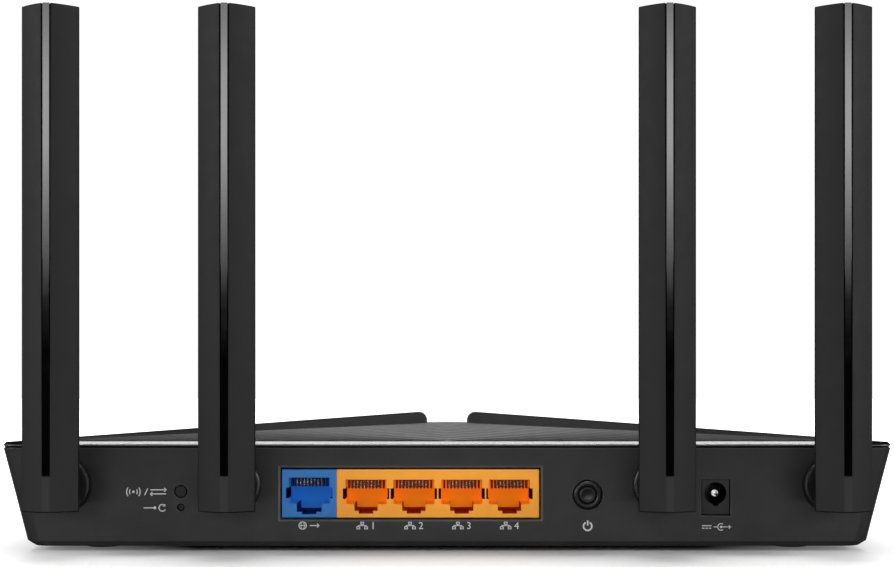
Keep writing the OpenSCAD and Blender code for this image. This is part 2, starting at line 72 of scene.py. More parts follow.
case_lo, case_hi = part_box("bottom_case")
REAR_Y = case_lo.y                       # plane of the rear panel
UNDERSIDE = case_lo.z
wan_lo, wan_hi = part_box("wan_jack")
lan_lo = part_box("lan_jacks")[0]
inlet_lo, inlet_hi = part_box("dc_jack_pin")
power_lo, power_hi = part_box("power_button")
wps_lo, wps_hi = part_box("wps_button")

LAN_PITCH = 14.05                        # between neighbouring local network sockets, in millimetres
LAN_FIRST = 8.7                          # first socket's centre from the end of their block
wan_centre = (wan_lo.x + wan_hi.x) / 2 / MM
lan_centres = [lan_lo.x / MM + LAN_FIRST + i * LAN_PITCH for i in range(4)]

# ---------- camera ----------

PICTURE_PX = 894                         # width of the picture
EYE_BACK = 0.450                         # from the rear panel to the eye
EYE_UP = 0.0498                          # eye level above the underside
PANEL_PX_PER_M = 3405                    # size of the rear panel in the picture
HORIZON_DROP_PX = 92.9                   # eye level's line below the middle of the picture


def add_camera():
    data = bpy.data.cameras.new("photo_camera")
    cam = bpy.data.objects.new("photo_camera", data)
    bpy.context.scene.collection.objects.link(cam)
    cam.location = (0, REAR_Y - EYE_BACK, UNDERSIDE + EYE_UP)
    cam.rotation_euler = (math.pi / 2, 0, 0)
    data.sensor_width = 36
    data.lens = PANEL_PX_PER_M * EYE_BACK / PICTURE_PX * data.sensor_width
    data.shift_y = HORIZON_DROP_PX / PICTURE_PX
    data.clip_start, data.clip_end = 0.02, 20
    bpy.context.scene.camera = cam


# ---------- strength of the lights ----------

SKY = 0.8
KEY = 5.6                                # watts of each of the two side lights
TOP = 17                                 # large light above the object and beyond its front edge
LINE = 4.6                               # long light overhead, for the line along the cover's edge
LOW = 0.036                              # faint strip near the floor, for the lower half of the rear panel
CARD_GLOW = 4.0

# ---------- materials ----------

class Look:
    """A Principled material with helpers for procedural colour, roughness and bump."""

    def __init__(self, name, colour, roughness, **sockets):
        self.mat = bpy.data.materials.new(name)
        self.mat.use_nodes = True
        self.tree = self.mat.node_tree
        self.shader = self.tree.nodes["Principled BSDF"]
        self.shader.inputs["Base Color"].default_value = (*colour, 1)
        self.shader.inputs["Roughness"].default_value = roughness
        for key, value in sockets.items():
            self.shader.inputs[key.replace("_", " ")].default_value = value
        self.coords = self.tree.nodes.new("ShaderNodeTexCoord")

    def node(self, kind, **inputs):
        n = self.tree.nodes.new(kind)
        for key, value in inputs.items():
            n.inputs[key].default_value = value
        return n

    def link(self, a, b):
        self.tree.links.new(a, b)

    def noise(self, size_mm, detail=2.0, stretch=(1, 1, 1)):
        """Noise whose features are about size_mm across."""
        mapping = self.node("ShaderNodeMapping", Scale=stretch)
        tex = self.node("ShaderNodeTexNoise", Scale=1000 / size_mm, Detail=detail)
        self.link(self.coords.outputs["Object"], mapping.inputs["Vector"])
        self.link(mapping.outputs["Vector"], tex.inputs["Vector"])
        return tex.outputs["Fac"]

    def cells(self, size_mm):
        tex = self.node("ShaderNodeTexVoronoi", Scale=1000 / size_mm)
        self.link(self.coords.outputs["Object"], tex.inputs["Vector"])
        return tex.outputs["Distance"]

    def between(self, factor, low, high):
        """Maps a 0..1 factor to low..high."""
        ramp = self.node("ShaderNodeMapRange", **{"To Min": low, "To Max": high})
        ramp.inputs["From Min"].default_value, ramp.inputs["From Max"].default_value = 0.3, 0.7
        self.link(factor, ramp.inputs["Value"])
        return ramp.outputs["Result"]

    def vary_colour(self, factor, dark, light):
        mix = self.tree.nodes.new("ShaderNodeMix")
        mix.data_type = "RGBA"
        mix.inputs["A"].default_value = (*dark, 1)
        mix.inputs["B"].default_value = (*light, 1)
        self.link(self.between(factor, 0, 1), mix.inputs["Factor"])
        self.link(mix.outputs["Result"], self.shader.inputs["Base Color"])

    def vary_roughness(self, factor, low, high):
        self.link(self.between(factor, low, high), self.shader.inputs["Roughness"])

    def bump(self, factor, height_mm, strength=1.0):
        bump = self.node("ShaderNodeBump", Strength=strength, Distance=height_mm * MM)
        self.link(factor, bump.inputs["Height"])
        self.link(bump.outputs["Normal"], self.shader.inputs["Normal"])


def moulded(name, colour, roughness, grain_mm=0.35, grain_h=0.02, spread=0.12, **sockets):
    """Moulded plastic: eroded-tool grain, faint cloudy colour and sheen changes."""
    look = Look(name, colour, roughness, **sockets)
    dark = tuple(c * (1 - spread) for c in colour)
    light = tuple(min(1, c * (1 + spread)) for c in colour)
    look.vary_colour(look.noise(9, 3), dark, light)
    look.vary_roughness(look.noise(3.5, 4), roughness - 0.04, roughness + 0.05)
    look.bump(look.noise(grain_mm, 3), grain_h)
    return look.mat


def metal(name, colour, roughness, grain_mm=0.5, stretch=(1, 1, 1)):
    look = Look(name, colour, roughness, Metallic=1.0)
    look.vary_colour(look.noise(4, 3), tuple(c * 0.9 for c in colour), colour)
    look.vary_roughness(look.noise(grain_mm, 2, stretch), roughness - 0.05, roughness + 0.08)
    look.bump(look.noise(grain_mm, 2, stretch), 0.004)
    return look.mat


RIM_FADE = (0.108, 0.113)                # distances from the middle between which the gloss ends and the rim turns to painted shade, in metres


def fading_rim(name):
    """The cover's moulded edge: glossy along its length; round its two ends it is matt and painted
    near-black, as painted shade where its highlight fades out.
    """
    look = Look(name, (0.05, 0.05, 0.051), 0.2, Specular_IOR_Level=0.9, Coat_Roughness=0.15)
    split = look.node("ShaderNodeSeparateXYZ")
    look.link(look.coords.outputs["Object"], split.inputs[0])
    aside = look.node("ShaderNodeMath")
    aside.operation = "ABSOLUTE"
    look.link(split.outputs["X"], aside.inputs[0])
    gloss = look.node("ShaderNodeMapRange", **{"To Min": 1, "To Max": 0})
    gloss.inputs["From Min"].default_value, gloss.inputs["From Max"].default_value = RIM_FADE
    look.link(aside.outputs[0], gloss.inputs["Value"])
    look.link(gloss.outputs["Result"], look.shader.inputs["Coat Weight"])
    look.link(gloss.outputs["Result"], look.shader.inputs["Specular IOR Level"])
    # colour falls to near-black towards both ends: painted shade
    look.vary_colour(gloss.outputs["Result"], (0.004, 0.004, 0.004), (0.05, 0.05, 0.051))
    look.vary_roughness(look.noise(3.5, 4), 0.17, 0.24)
    return look.mat


def circuit_board(name):
    look = Look(name, (0.02, 0.13, 0.05), 0.35)
    look.vary_colour(look.cells(2.6), (0.012, 0.09, 0.035), (0.03, 0.19, 0.07))
    look.bump(look.cells(1.3), 0.02)
    return look.mat


MATS = {
    "case": moulded("case_plastic", (0.0168, 0.0168, 0.017), 0.42, Specular_IOR_Level=0.25),
    "cover": moulded("cover_plastic", (0.05, 0.05, 0.051), 0.36, grain_h=0.008),
    "rim": fading_rim("cover_rim"),
    "ribs": moulded("rib_plastic", (0.03, 0.03, 0.0305), 0.42, grain_h=0.004, IOR=1.22),
    "seam": moulded("seam_shadow", (0.002, 0.002, 0.002), 0.7, Specular_IOR_Level=0.1),
    "groove": moulded("rib_shadow", (0.004, 0.004, 0.0041), 0.6, grain_h=0.004, IOR=1.02),
    # rounded edges of the wings and antennas are painted near-black: painted shade along them
    "edge": moulded("dark_edge", (0.003, 0.003, 0.003), 0.5, grain_h=0.002, Specular_IOR_Level=0.1),
    # rounded edges of the case are painted paler than the case: a painted highlight
    "case_edge_highlight": moulded("case_edge_highlight", (0.045, 0.045, 0.0455), 0.4, grain_h=0.004),
    # band below each antenna's gloss strip, painted paler than the antenna: painted light
    "ridge": moulded("ridge_plastic", (0.018, 0.018, 0.0182), 0.5, grain_h=0.006, spread=0.05,
                     Specular_IOR_Level=0.15),
    "wing": moulded("wing_plastic", (0.03, 0.03, 0.0305), 0.42, grain_h=0.012),
    "antenna": moulded("antenna_plastic", (0.0145, 0.0145, 0.0147), 0.55, grain_h=0.012, spread=0.05,
                       Specular_IOR_Level=0.12),
    # antenna bosses are painted darker than the case: painted shade behind the blades
    "boss": moulded("boss_plastic", (0.006, 0.006, 0.0062), 0.34),
    "strip": moulded("strip_gloss", (0.001, 0.001, 0.001), 0.06, grain_mm=6, grain_h=0.0005, spread=0.2,
                     Coat_Weight=1.0, Coat_Roughness=0.04),
    "button": moulded("button_plastic", (0.012, 0.012, 0.0125), 0.34, grain_h=0.006),
    "rubber": moulded("foot_rubber", (0.012, 0.012, 0.012), 0.75, grain_mm=0.6, grain_h=0.04),
    "blue": moulded("wan_plastic", (0.008, 0.16, 0.5), 0.4, grain_h=0.006, spread=0.06),
    # hollow of the blue socket glows faintly: painted light
    "blue_deep": moulded("wan_hollow_glow", (0.008, 0.14, 0.55), 0.6, grain_h=0.004, spread=0.15,
                         Specular_IOR_Level=0.1, Emission_Color=(0.02, 0.15, 0.5, 1), Emission_Strength=0.35),
    # comb, notches and latch slot of the blue socket are painted darker: painted shade
    "blue_comb": moulded("wan_comb", (0.003, 0.012, 0.06), 0.6, Specular_IOR_Level=0.1),
    "blue_notch": moulded("wan_notch", (0.001, 0.003, 0.014), 0.7, Specular_IOR_Level=0.05),
    "blue_latch": moulded("wan_latch", (0.01, 0.02, 0.14), 0.6, Specular_IOR_Level=0.1),
    "orange": moulded("lan_plastic", (0.93, 0.35, 0.008), 0.4, grain_h=0.006, spread=0.05),
    # hollows of the orange sockets glow faintly: painted light
    "orange_deep": moulded("lan_hollow_glow", (0.95, 0.32, 0.008), 0.6, grain_h=0.004, spread=0.12,
                           Specular_IOR_Level=0.1, Emission_Color=(1, 0.26, 0.01, 1), Emission_Strength=0.25),
    # comb, notches and latch slot of the orange sockets are painted darker: painted shade
    "orange_comb": moulded("lan_comb", (0.14, 0.012, 0.002), 0.6, Specular_IOR_Level=0.1),
    "orange_notch": moulded("lan_notch", (0.03, 0.002, 0.001), 0.7, Specular_IOR_Level=0.05),
    "orange_latch": moulded("lan_latch", (0.42, 0.02, 0.001), 0.6, Specular_IOR_Level=0.1),
    "inlet_face": moulded("inlet_surround", (0.02, 0.02, 0.0203), 0.42, grain_h=0.006),
    # darker colour of the inlet's inside: painted shade
    "inlet": moulded("inlet_plastic", (0.006, 0.006, 0.006), 0.4, grain_h=0.006),
    "switch": moulded("switch_plastic", (0.02, 0.02, 0.021), 0.5),
    "chip": moulded("chip_plastic", (0.018, 0.018, 0.019), 0.55),
    "pad": moulded("thermal_pad", (0.35, 0.45, 0.52), 0.7, grain_mm=0.8, grain_h=0.05),
    "can": moulded("capacitor_sleeve", (0.03, 0.035, 0.08), 0.35, grain_h=0.004),
    "lead": moulded("lead_jacket", (0.015, 0.015, 0.015), 0.5, grain_h=0.01),
    "light": moulded("light_lens", (0.35, 0.6, 0.3), 0.3),
    "guide": moulded("light_guide", (0.7, 0.75, 0.78), 0.2, grain_h=0.004, Transmission_Weight=0.8),
    "gold": metal("contact_gold", (0.97, 0.88, 0.74), 0.2),
    "bright": metal("bright_metal", (0.72, 0.72, 0.74), 0.2),
    "screw": metal("screw_steel", (0.42, 0.42, 0.44), 0.35),
    "shield": metal("shield_steel", (0.6, 0.61, 0.62), 0.3, stretch=(1, 6, 1)),
    "sink": metal("sink_aluminium", (0.68, 0.69, 0.7), 0.38, stretch=(1, 0.1, 1)),
    "board": circuit_board("board_laminate"),
    "radiator": metal("radiator_brass", (0.75, 0.52, 0.26), 0.35),
    "ink": moulded("label_ink", (0.5, 0.5, 0.5), 0.6, grain_h=0.002, spread=0.05),
}

NODE_LOOKS = {
    "bottom_case": "case", "top_cover": "cover", "wing_panel_left": "wing", "wing_panel_right": "wing",
    "rubber_feet": "rubber", "case_screws": "screw", "main_board": "board", "board_screws": "screw",
    "wan_jack": "blue", "wan_contacts": "gold", "lan_jacks": "orange", "lan_contacts": "gold",
    "dc_jack_body": "inlet", "dc_jack_pin": "bright", "power_switch": "switch", "wps_switch": "switch",
    "reset_switch": "switch", "light_guide": "guide", "status_lights": "light", "main_processor": "chip",
    "thermal_pad": "pad", "heat_sink": "sink", "radio_shields": "shield", "memory_chips": "chip",
    "line_transformers": "chip", "capacitors": "can", "antenna_sockets": "gold", "antenna_leads": "lead",
    "power_button": "button", "wps_button": "button", "reset_plunger": "button",
}
ANTENNA_LOOKS = {
    "base": "boss", "clip": "bright", "pin": "bright", "frame": "antenna", "cover": "antenna",
    "strip": "strip", "radiator": "radiator",
}


def dress(obj, look):
    obj.data.materials.clear()
    obj.data.materials.append(MATS[look])


def dress_cad():
    for node, look in NODE_LOOKS.items():
        dress(frame["nodes"][node], look)
    for n in ANTENNAS:
        for piece, look in ANTENNA_LOOKS.items():
            dress(frame["nodes"][f"antenna_{n}_{piece}"], look)


# ---------- edges ----------

SHARP = math.radians(28)                 # edges that turn more than this are rounded
FLAT = math.radians(0.4)                 # facets that turn less than this are one face


def smooth_copy(node, look, radius, paint=None, rim=None, steps=3):
    """A piece with the node's own form and moulded edges. radius(a, b) gives an edge's radius in
    millimetres from its two ends, or 0 to keep it sharp; paint(p) gives a face's look from its middle, and
    rim is the look of the moulded edges themselves, made in so many steps.
    Points are [across, in front of the rear panel, above the underside], in millimetres."""
    source = frame["nodes"][node]
    mesh = source.data.copy()
    bm = bmesh.new()
    bm.from_mesh(mesh)
    bmesh.ops.remove_doubles(bm, verts=bm.verts, dist=2e-6)
    bmesh.ops.dissolve_limit(bm, angle_limit=FLAT, verts=bm.verts, edges=bm.edges)
    bmesh.ops.recalc_face_normals(bm, faces=bm.faces)
    for face in bm.faces:
        face.smooth = True
    for edge in bm.edges:
        edge.smooth = True
    bm.to_mesh(mesh)
    bm.free()
    if "custom_normal" in mesh.attributes:
        mesh.attributes.remove(mesh.attributes["custom_normal"])
    obj = bpy.data.objects.new(node + "_shape", mesh)
    bpy.context.scene.collection.objects.link(obj)
    dress(obj, look)
    to_world = source.matrix_world
    if paint:
        slots = {look: 0}
        for face in mesh.polygons:
            name = paint(in_case(to_world @ face.center))
            if name not in slots:
                slots[name] = len(slots)
                mesh.materials.append(MATS[name])
            face.material_index = slots[name]
    weight = mesh.attributes.new("bevel_weight_edge", "FLOAT", "EDGE")
    radii = {}
    for i in sharp_edges(mesh, SHARP):
        ends = [in_case(to_world @ mesh.vertices[v].co) for v in mesh.edges[i].vertices]
        radii[i] = radius(*ends)
    widest = max(radii.values())
    for i, r in radii.items():
        weight.data[i].value = r / widest
        mesh.edges[i].use_edge_sharp = r == 0
    bevel = obj.modifiers.new("moulded_edges", "BEVEL")
    bevel.limit_method = "WEIGHT"
    bevel.width = widest * MM
    bevel.segments = steps
    if rim:
        mesh.materials.append(MATS[rim])
        bevel.material = len(mesh.materials) - 1
    bevel.use_clamp_overlap = False
    bevel.miter_outer = "MITER_SHARP"
    normals = obj.modifiers.new("flat_faces", "WEIGHTED_NORMAL")
    normals.weight = 80
    normals.keep_sharp = True
    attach(obj, source["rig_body"])
    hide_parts(node)
    return obj


def in_case(p):
    return Vector((p.x, p.y - REAR_Y, p.z - UNDERSIDE)) / MM


def by_length(soft, fine, long_edge=12):
    """Radius soft for long edges and fine for the others."""
    return lambda a, b: soft if (a - b).length > long_edge else fine


def sharp_edges(mesh, angle):
    """Indices of the edges whose two faces meet at more than angle."""
    faces = {}
    for face in mesh.polygons:
        for key in face.edge_keys:
            faces.setdefault(key, []).append(face.normal)
    return [e.index for e in mesh.edges
            if len(faces.get(e.key, ())) == 2 and faces[e.key][0].angle(faces[e.key][1], 0) > angle]


# ---------- top cover ----------

COVER_TOP = 30.6                         # valley's height above the underside at the rear panel
COVER_SEAM = 29.4                        # cover's lower edge at the rear panel
CASE_TOP = 28.9                          # case's upper edge at the rear panel
FOOT_TOP = 2.4                           # height of the narrower foot below the case's sides
SEAM_FALL = 4 / 135                      # fall of that edge for each millimetre towards the front
VALLEY_RISE = 1.9 / 135
WING_TAN = math.tan(math.radians(46.5))
GROOVES = 12
GROOVE_PITCH, GROOVE_W, GROOVE_DEPTH = 10.4, 3.2, 0.9
FIRST_RIB = 3.5                          # where the ribs begin, in front of the rear panel
LAST_RIB_END = 129.9
RIB_CROWN = 0.2                          # height of a rib's middle over its sides
RIB_SHOULDER = 0.6                       # width of the shaded side of a rib, which is painted near-black as painted shade
SKIN_LIFT = 0.05                         # height of the ribbed skin over the cover
SKIN_MARGIN = 0.4                        # how far the skin reaches past the ribs' ends
CASE_DEPTH = 135


def cover_radius(a, b):
    """A full radius along the cover's upper rim, a small one around the wing pockets, none on the ribs."""
    middle = (a + b) / 2
    above_seam = middle.z - (COVER_SEAM - SEAM_FALL * middle.y)
    half = (case_hi.x - case_lo.x) / 2 / MM
    on_rim = middle.y < 1.4 or middle.y > CASE_DEPTH - 1.4 or abs(middle.x) > half - 1.4
    if on_rim and above_seam > 0.6:
        return 0.85
    in_valley = middle.y > 2.5 and abs(middle.x) < (122 - middle.y) / WING_TAN + 8
    return 0.0 if in_valley or above_seam < 0.3 else 0.2


def cover_paint(p):
    # faces below the cover's lower edge are painted near-black: painted shade of the gap at the seam
    return "seam" if p.z < COVER_SEAM - SEAM_FALL * p.y - 0.03 else "cover"


def rib_height(u):
    """Height of the ribbed skin over the valley plane, with u measured across the chevrons. Each rib is
    crowned between its two grooves."""
    for i in range(1, GROOVES + 1):
        end = i * GROOVE_PITCH + FIRST_RIB
        start = end - GROOVE_W
        if start < u < end:
            side = min(u - start, end - u)
            return -GROOVE_DEPTH * 0.92 * (1 - (1 - min(side, 1)) ** 2) ** 0.7
    along = (u - FIRST_RIB) % GROOVE_PITCH / (GROOVE_PITCH - GROOVE_W)
    return RIB_CROWN * 4 * along * (1 - along) if along < 1 else 0.0


def add_valley_ribs():
    """Chevron ribs with rounded shoulders, as a skin over the valley of the top cover. Their grooves and the
    shaded side of each rib are painted near-black, as painted shade.
    """
    lines = [FIRST_RIB + 0.1]
    rib = GROOVE_PITCH - GROOVE_W
    for i in range(1, GROOVES + 1):
        start = i * GROOVE_PITCH + FIRST_RIB - GROOVE_W
        steps = [0, 0.05, 0.15, 0.35, 0.65, 1.0, 1.25, 1.6, 1.95, 2.2, 2.55, 2.85, 3.05, 3.15, 3.2]
        lines += [start - rib * part for part in (0.92, 0.7, 0.5, 0.3, 0.1)]
        lines += [start + s for s in steps]
    lines.append(LAST_RIB_END)
    bm = bmesh.new()
    rows = []
    for u in lines:
        reach = (u - FIRST_RIB + SKIN_MARGIN) / WING_TAN
        row = []
        for x in (-reach, 0, reach):
            y = u - abs(x) * WING_TAN
            z = COVER_TOP + VALLEY_RISE * y + SKIN_LIFT + rib_height(u)
            row.append(bm.verts.new((x * MM, REAR_Y + y * MM, UNDERSIDE + z * MM)))
        rows.append(row)
    for i, (low, high) in enumerate(zip(rows, rows[1:])):
        for k in (0, 1):
            face = bm.faces.new((low[k], low[k + 1], high[k + 1], high[k]))
            face.smooth = True
            middle = (lines[i] + lines[i + 1]) / 2
            # grooves and the shaded side of each rib get the near-black look: painted shade
            shaded_shoulder = (middle - FIRST_RIB) % GROOVE_PITCH < RIB_SHOULDER
            face.material_index = 1 if shaded_shoulder or rib_height(middle) < -0.01 else 0
    mesh = bpy.data.meshes.new("valley_ribs")
    bm.to_mesh(mesh)
    bm.free()
    for edge in mesh.edges:
        a, b = (mesh.vertices[v].co for v in edge.vertices)
        edge.use_edge_sharp = abs(a.x) < 1e-6 and abs(b.x) < 1e-6
    obj = bpy.data.objects.new("valley_ribs", mesh)
    bpy.context.scene.collection.objects.link(obj)
    skin = obj.modifiers.new("skin", "SOLIDIFY")
    skin.thickness = 0.0003
    dress(obj, "ribs")
    mesh.materials.append(MATS["groove"])
    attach(obj, "case")


# ---------- sockets ----------

SOCKET_DEPTH = 15.3                      # everything here is in millimetres
SOCKET_HALF_W = 7
# bounds of the comb, side notches and latch slot, which are painted darker as painted shade
COMB_DROP, COMB_DEPTH, COMB_HALF_W = 2.6, 5.3, 5.9
NOTCH_START, NOTCH_WALL, NOTCH_DEPTH = 6.03, 6.1, 9.5
LATCH_DROP = 3.2


def socket_paint(centres, top_h, bottom_h, face):
    """Look of each face of a socket block: its face, comb, side notches, latch slot and hollow. The comb, the
    notches and the latch slot are painted darker, as painted shade, and the hollow glows faintly, as painted
    light.
    """
    def paint(p):
        dx = min(abs(p.x - c) for c in centres)
        inside = dx < SOCKET_HALF_W and bottom_h - LATCH_DROP < p.z < top_h + 0.2 and p.y < SOCKET_DEPTH
        if p.y < 0.3 or not inside:
            return face
        if p.z > top_h - COMB_DROP and p.y < COMB_DEPTH and dx < COMB_HALF_W:
            return face + "_comb"
        if dx > NOTCH_START and p.y < NOTCH_DEPTH and p.z < top_h - 2:
            return face + "_notch" if dx > NOTCH_WALL else face + "_deep"
        if p.z < bottom_h - 0.05:
            return face + "_latch"
        # the rest of the hollow glows faintly: painted light
        return face + "_deep"
    return paint


def inlet_paint(p):
    # faces deeper than 1.2 mm keep the darker colour: painted shade inside the inlet
    return "inlet_face" if p.y < 1.2 else "inlet"


# ---------- case and antennas ----------

def case_radius(a, b):
    """Edges of the case are rounded, but its foot is left as it is."""
    return 0.0 if (a + b).z / 2 < FOOT_TOP else by_length(0.7, 0.15)(a, b)


def case_paint(p):
    """The lip that stands up inside the cover is only seen as a dark line, so it is painted near-black:
    painted shade of the gap at the seam.
    """
    return "seam" if p.z > CASE_TOP - SEAM_FALL * p.y + 0.1 else "case"



def ridge_paint(n):
    """The flat band below an antenna's gloss strip is painted a little paler than the faces beside it:
    painted light on the band that faces the front.
    """
    strip_lo, strip_hi = (in_case(corner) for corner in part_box(f"antenna_{n}_strip"))

    def paint(p):
        return "ridge" if p.z < strip_lo.z and strip_lo.x - 0.3 < p.x < strip_hi.x + 0.3 else "antenna"
    return paint


# ---------- printed marks on the rear panel ----------

def ring_points(cx, cz, r, start=0, end=360, steps=28):
    return [(cx + r * math.cos(math.radians(start + (end - start) * i / steps)),
             cz + r * math.sin(math.radians(start + (end - start) * i / steps))) for i in range(steps + 1)]


INK_THICKNESS = 0.05


class Marks:
    """Strokes and digits of ink on the rear panel, drawn in millimetres as [across, above the underside]."""

    def __init__(self):
        self.bm = bmesh.new()

    def stroke(self, points, width=0.3):
        """A line of ink; it closes on itself when it ends where it starts."""
        closed = math.dist(points[0], points[-1]) < 1e-6
        pts = [Vector((*p, 0)) for p in (points[:-1] if closed else points)]
        count = len(pts)
        sides = []
        for i, p in enumerate(pts):
            ahead = pts[(i + 1) % count] if closed or i + 1 < count else None
            behind = pts[i - 1] if closed or i > 0 else None
            before = (p - behind).normalized() if behind else (ahead - p).normalized()
            after = (ahead - p).normalized() if ahead else before
            middle = (before + after).normalized()
            reach = width / 2 / max(0.4, middle.dot(after))
            across = Vector((-middle.y, middle.x, 0)) * reach
            sides.append((p + across, p - across))
        self._slab([s[0] for s in sides], [s[1] for s in sides], closed)

    def disc(self, cx, cz, r):
        ring = [Vector((*p, 0)) for p in ring_points(cx, cz, r)[:-1]]
        self._solid([ring])

    def digit(self, text, cx, cz, height):
        """A plain digit centred at cx."""
        curve = bpy.data.curves.new("digit", "FONT")
        curve.body = text
        curve.size = 1.0
        holder = bpy.data.objects.new("digit", curve)
        mesh = bpy.data.meshes.new_from_object(holder)
        xs = [v.co.x for v in mesh.vertices]
        ys = [v.co.y for v in mesh.vertices]
        grow = height / (max(ys) - min(ys))
        middle = (max(xs) + min(xs)) / 2
        faces = [[Vector(((mesh.vertices[i].co.x - middle) * grow + cx,
                          (mesh.vertices[i].co.y - min(ys)) * grow + cz - height / 2, 0)) for i in f.vertices]
                 for f in mesh.polygons]
        self._solid(faces)
        bpy.data.objects.remove(holder)
        bpy.data.meshes.remove(mesh)
        bpy.data.curves.remove(curve)

    def _slab(self, left, right, closed):
        n = len(left)
        faces = []
        for i in range(n if closed else n - 1):
            j = (i + 1) % n
            faces.append([left[i], right[i], right[j], left[j]])
        self._solid(faces)

    def _solid(self, faces):
        """Joins flat faces into one sheet and gives it a thickness."""
        bm = bmesh.new()
        for face in faces:
            bm.faces.new([bm.verts.new(v) for v in face])
        bmesh.ops.remove_doubles(bm, verts=bm.verts, dist=1e-4)
        grown = bmesh.ops.extrude_face_region(bm, geom=bm.faces[:])
        upper = [v for v in grown["geom"] if isinstance(v, bmesh.types.BMVert)]
        bmesh.ops.translate(bm, verts=upper, vec=(0, 0, INK_THICKNESS))
        bmesh.ops.recalc_face_normals(bm, faces=bm.faces)
        part = bpy.data.meshes.new("mark")
        bm.to_mesh(part)
        bm.free()
        self.bm.from_mesh(part)
        bpy.data.meshes.remove(part)

    def finish(self, name):
        to_panel = Matrix(((MM, 0, 0, 0), (0, 0, -MM, REAR_Y + 0.00002), (0, MM, 0, UNDERSIDE), (0, 0, 0, 1)))
        self.bm.transform(to_panel)
        bmesh.ops.recalc_face_normals(self.bm, faces=self.bm.faces)
        mesh = bpy.data.meshes.new(name)
        self.bm.to_mesh(mesh)
        self.bm.free()
        obj = bpy.data.objects.new(name, mesh)
        bpy.context.scene.collection.objects.link(obj)
        dress(obj, "ink")
        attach(obj, "case")
        return obj


def arrow(marks, x0, x1, z, head=0.55, width=0.3):
    """A line from x0 to x1 with a chevron head at x1."""
    back = head if x1 > x0 else -head
    marks.stroke([(x0, z), (x1, z)], width)
    marks.stroke([(x1 - back, z + head), (x1, z), (x1 - back, z - head)], width)


def globe(marks, cx, cz, r):
    marks.stroke(ring_points(cx, cz, r), 0.26)
    marks.stroke([(cx - r, cz), (cx + r, cz)], 0.2)
    marks.stroke([(cx + r * 0.45 * math.cos(math.radians(a)), cz + r * math.sin(math.radians(a)))
                  for a in range(0, 361, 15)], 0.2)


def linked_boxes(marks, cx, cz):
    """Two small boxes hanging from a third, the usual sign for a local network."""
    for x, z in ((cx, cz + 0.68), (cx - 1.15, cz - 0.68), (cx + 1.15, cz - 0.68)):
        marks.stroke([(x - 0.42, z - 0.3), (x + 0.42, z - 0.3), (x + 0.42, z + 0.3), (x - 0.42, z + 0.3),
                      (x - 0.42, z - 0.3)], 0.22)
    marks.stroke([(cx, cz + 0.28), (cx, cz)], 0.22)
    marks.stroke([(cx - 1.15, cz - 0.28), (cx - 1.15, cz), (cx + 1.15, cz), (cx + 1.15, cz - 0.28)], 0.22)


def add_marks():
    marks = Marks()
    low = 6.0                                            # marks under the sockets
    globe(marks, wan_centre - 1.9, low, 1.08)
    arrow(marks, wan_centre + 0.2, wan_centre + 2.9, low)
    for i in range(4):
        centre = lan_centres[i]
        linked_boxes(marks, centre - 1.1, low)
        marks.digit(str(i + 1), centre + 2.1, low, 2.05)
    power_x = (power_lo.x + power_hi.x) / 2 / MM
    marks.stroke(ring_points(power_x, 5.8, 1.22, 118, 422), 0.45)
    marks.stroke([(power_x, 6.0), (power_x, 7.5)], 0.45)
    inlet_x = (inlet_lo.x + inlet_hi.x) / 2 / MM
    marks.stroke([(inlet_x - 4.1, 5.95), (inlet_x - 1.3, 5.95)], 0.3)
    for i in range(3):
        marks.stroke([(inlet_x - 4.1 + i, 5.2), (inlet_x - 3.4 + i, 5.2)], 0.3)
    marks.disc(inlet_x + 1.5, 5.6, 0.36)
    marks.stroke(ring_points(inlet_x + 1.5, 5.6, 0.98, 55, 305), 0.26)
    marks.stroke([(inlet_x - 0.7, 5.6), (inlet_x + 0.5, 5.6)], 0.26)
    marks.stroke([(inlet_x + 1.85, 5.6), (inlet_x + 3.2, 5.6)], 0.26)
    marks.stroke([(inlet_x + 3.9, 5.05), (inlet_x + 3.9, 6.15)], 0.26)
    marks.stroke([(inlet_x + 3.35, 5.6), (inlet_x + 4.45, 5.6)], 0.26)
    edge = (wps_lo.x + wps_hi.x) / 2 / MM - 4.3          # the two side marks end here
    arrow(marks, edge - 4.6, edge, 16.5)
    arrow(marks, edge, edge - 4.6, 15.3)
    marks.stroke([(edge - 6.3, 14.9), (edge - 5.4, 16.9)], 0.26)
    centre = edge - 9.6
    marks.disc(centre, 15.9, 0.36)
    for r in (1.15, 2.0):
        marks.stroke(ring_points(centre, 15.9, r, -38, 38, 10), 0.28)
        marks.stroke(ring_points(centre, 15.9, r, 142, 218, 10), 0.28)
    marks.stroke(ring_points(edge - 1.1, 11.2, 0.98, 40, 330), 0.3)
    marks.stroke([(edge - 0.35, 12.25), (edge - 0.35, 11.75), (edge - 0.95, 11.75)], 0.28)
    marks.stroke([(edge - 6.6, 11.2), (edge - 3.6, 11.2)], 0.3)
    marks.disc(edge - 3.3, 11.2, 0.42)
    marks.finish("panel_marks")


# ---------- light and floor ----------

def new_sheet(name, corners):
    mesh = bpy.data.meshes.new(name)
    mesh.from_pydata(corners, [], [(0, 1, 2, 3)])
    obj = bpy.data.objects.new(name, mesh)
    bpy.context.scene.collection.objects.link(obj)
    return obj


